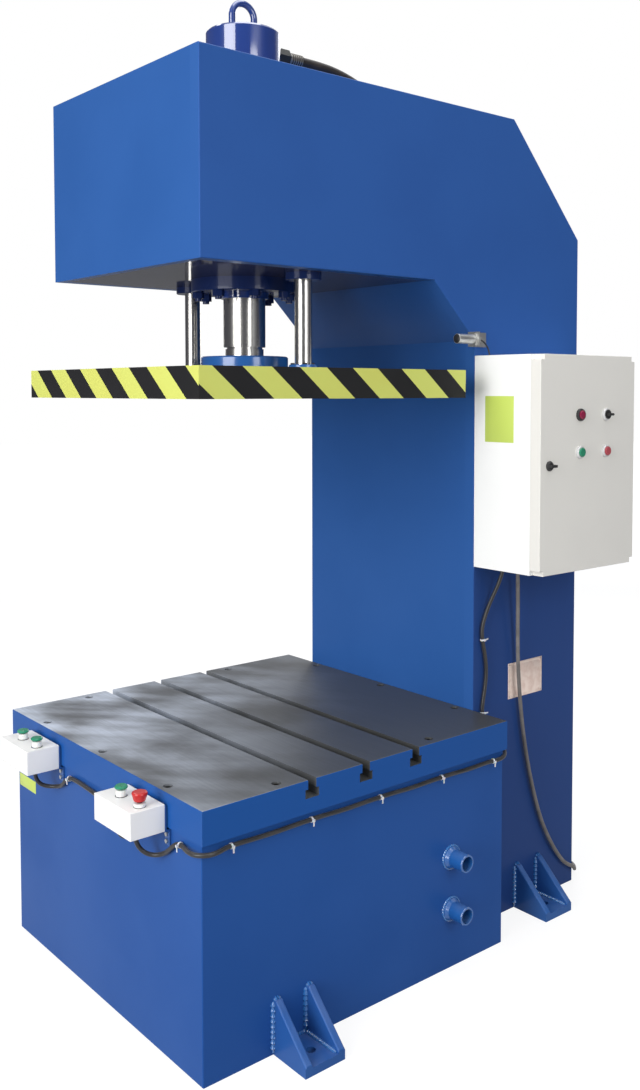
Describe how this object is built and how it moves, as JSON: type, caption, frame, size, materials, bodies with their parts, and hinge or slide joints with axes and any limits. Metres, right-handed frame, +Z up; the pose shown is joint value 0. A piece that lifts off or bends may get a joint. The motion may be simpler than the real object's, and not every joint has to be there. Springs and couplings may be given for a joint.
{
  "type": "hydraulic press",
  "caption": "C-frame hydraulic press with a T-slotted worktable, striped slide on a chromed ram and guide rods, electrical cabinet, two-hand control boxes and a hose from the cylinder.",
  "frame": {"origin": "on the floor, straight below the axis of the ram", "axes": "+Z up, -Y towards the operator, +X towards the side with the electrical cabinet"},
  "size_m": [1.36, 1.8064, 2.877],
  "materials": {
    "blue_paint": "glossy",
    "table_steel": "ground",
    "dark_steel": "black oxide",
    "zinc_steel": "zinc plated",
    "machined_steel": "machined",
    "hard_chrome": "polished",
    "cabinet_grey": "fine textured powder coat",
    "warning_yellow": "satin",
    "warning_black": "satin",
    "black_rubber": "matt",
    "grey_cable": "matt",
    "black_plastic": "matt",
    "white_plastic": "satin",
    "red_plastic": "glossy",
    "green_plastic": "glossy",
    "grey_plastic": "matt",
    "grey_paint": "semi gloss"
  },
  "bodies": {
    "press_frame": {"right_side_plate": "blue_paint", "left_side_plate": "blue_paint", "column_front_plate": "blue_paint", "throat_plate": "blue_paint", "head_front_plate": "blue_paint", "rear_bevel_plate": "blue_paint", "head_top_plate": "blue_paint", "head_floor_plate": "blue_paint", "column_back_plate": "blue_paint", "rear_cover": "blue_paint", "base_box": "blue_paint", "worktable": "table_steel", "table_screws": "dark_steel", "pipe_sockets": "blue_paint", "anchor_feet": "blue_paint", "cylinder_barrel": "blue_paint", "cylinder_flange": "blue_paint", "cylinder_end_cover": "blue_paint", "guide_bushes": "blue_paint", "head_bolts": "blue_paint", "lifting_eye": "blue_paint", "hose_fittings": "dark_steel", "hydraulic_hose": "black_rubber", "oil_tank": "grey_paint", "motor_and_pump": "grey_paint", "valve_block": "machined_steel", "oil_pipes": "zinc_steel", "cabinet_box": "cabinet_grey", "cabinet_hinges": "black_plastic", "switchgear": "grey_plastic", "left_control_box": "cabinet_grey", "right_control_box": "cabinet_grey", "box_button_collars": "white_plastic", "mounting_brackets": "zinc_steel", "slide_sensor": "zinc_steel", "frame_bolts": "zinc_steel", "control_cables": "black_rubber", "supply_cable": "grey_cable", "cable_glands": "black_plastic", "cable_ties": "white_plastic"},
    "slide": {"slide_plate": "table_steel", "hazard_stripes": "warning_black", "hazard_band": "warning_yellow", "ram": "hard_chrome", "guide_rods": "hard_chrome", "slide_flanges": "blue_paint", "slide_screws": "dark_steel"},
    "door": {"cabinet_door": "cabinet_grey", "door_hinge_leaves": "black_plastic", "door_device_rings": "black_plastic", "lamp_lens": "red_plastic"},
    "door_lock_knob": {"door_lock": "black_plastic"},
    "selector": {"selector_knob": "black_plastic"},
    "door_start_button": {"start_button": "green_plastic"},
    "door_stop_button": {"stop_button": "red_plastic"},
    "outer_palm_button": {"outer_start_button": "green_plastic"},
    "middle_palm_button": {"middle_start_button": "green_plastic"},
    "inner_palm_button": {"inner_start_button": "green_plastic"},
    "emergency_stem": {"estop_stem": "black_plastic"},
    "emergency_head": {"estop_head": "red_plastic"}
  },
  "joints": [
    {"name": "press_slide", "type": "slide", "parent": "press_frame", "child": "slide", "axis": [0, 0, 1], "range_m": [-0.36, 0.09]},
    {"name": "cabinet_door_hinge", "type": "hinge", "parent": "press_frame", "child": "door", "pos_m": [0.633, 1.057, 1.487], "axis": [0, 0, 1], "range_deg": [0, 115]},
    {"name": "door_lock_turn", "type": "hinge", "parent": "door", "child": "door_lock_knob", "pos_m": [0.67, 0.626, 1.485], "axis": [1, 0, 0], "range_deg": [0, 90]},
    {"name": "selector_turn", "type": "hinge", "parent": "door", "child": "selector", "pos_m": [0.67, 0.899, 1.635], "axis": [1, 0, 0], "range_deg": [0, 90]},
    {"name": "door_start_press", "type": "slide", "parent": "door", "child": "door_start_button", "axis": [-1, 0, 0], "range_m": [0, 0.004], "stiffness_N_per_m": 800, "springref_m": -0.003},
    {"name": "door_stop_press", "type": "slide", "parent": "door", "child": "door_stop_button", "axis": [-1, 0, 0], "range_m": [0, 0.004], "stiffness_N_per_m": 800, "springref_m": -0.003},
    {"name": "outer_palm_press", "type": "slide", "parent": "press_frame", "child": "outer_palm_button", "axis": [0, 0, -1], "range_m": [0, 0.004], "stiffness_N_per_m": 1000, "springref_m": -0.003},
    {"name": "middle_palm_press", "type": "slide", "parent": "press_frame", "child": "middle_palm_button", "axis": [0, 0, -1], "range_m": [0, 0.004], "stiffness_N_per_m": 1000, "springref_m": -0.003},
    {"name": "inner_palm_press", "type": "slide", "parent": "press_frame", "child": "inner_palm_button", "axis": [0, 0, -1], "range_m": [0, 0.004], "stiffness_N_per_m": 1000, "springref_m": -0.003},
    {"name": "emergency_stop_press", "type": "slide", "parent": "press_frame", "child": "emergency_stem", "axis": [0, 0, -1], "range_m": [0, 0.005], "stiffness_N_per_m": 1500, "springref_m": -0.003},
    {"name": "emergency_stop_release", "type": "hinge", "parent": "emergency_stem", "child": "emergency_head", "pos_m": [0.363, -0.578, 0.7], "axis": [0, 0, -1], "range_deg": [0, 30], "stiffness_Nm_per_rad": 0.3, "springref_deg": -5.73}
  ]
}
